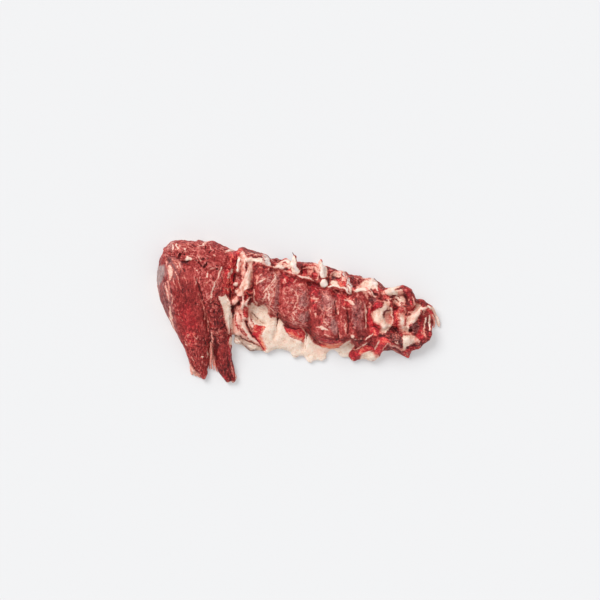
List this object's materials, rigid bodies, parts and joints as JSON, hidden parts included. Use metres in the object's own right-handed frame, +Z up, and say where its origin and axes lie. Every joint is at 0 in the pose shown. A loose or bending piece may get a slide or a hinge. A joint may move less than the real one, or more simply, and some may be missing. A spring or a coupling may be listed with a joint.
{
  "type": "raw boneless beef joint",
  "caption": "Raw boneless beef joint laid flat, boned side up: thick head with tapering tongues, rib-grooved slab, spine ledge, skirt of fat and ragged neck.",
  "frame": {"origin": "on the table under the middle of the joint's bounding box", "axes": "+X along the joint from its thick head to its neck, +Y from the skirt of fat to the spine's ledge, +Z up from the table"},
  "size_m": [0.5684, 0.286, 0.0778],
  "materials": {
    "flesh": "moist raw beef: dark red lean with cream fat, satin gloss"
  },
  "bodies": {
    "root": {"beef": "flesh"}
  },
  "joints": []
}
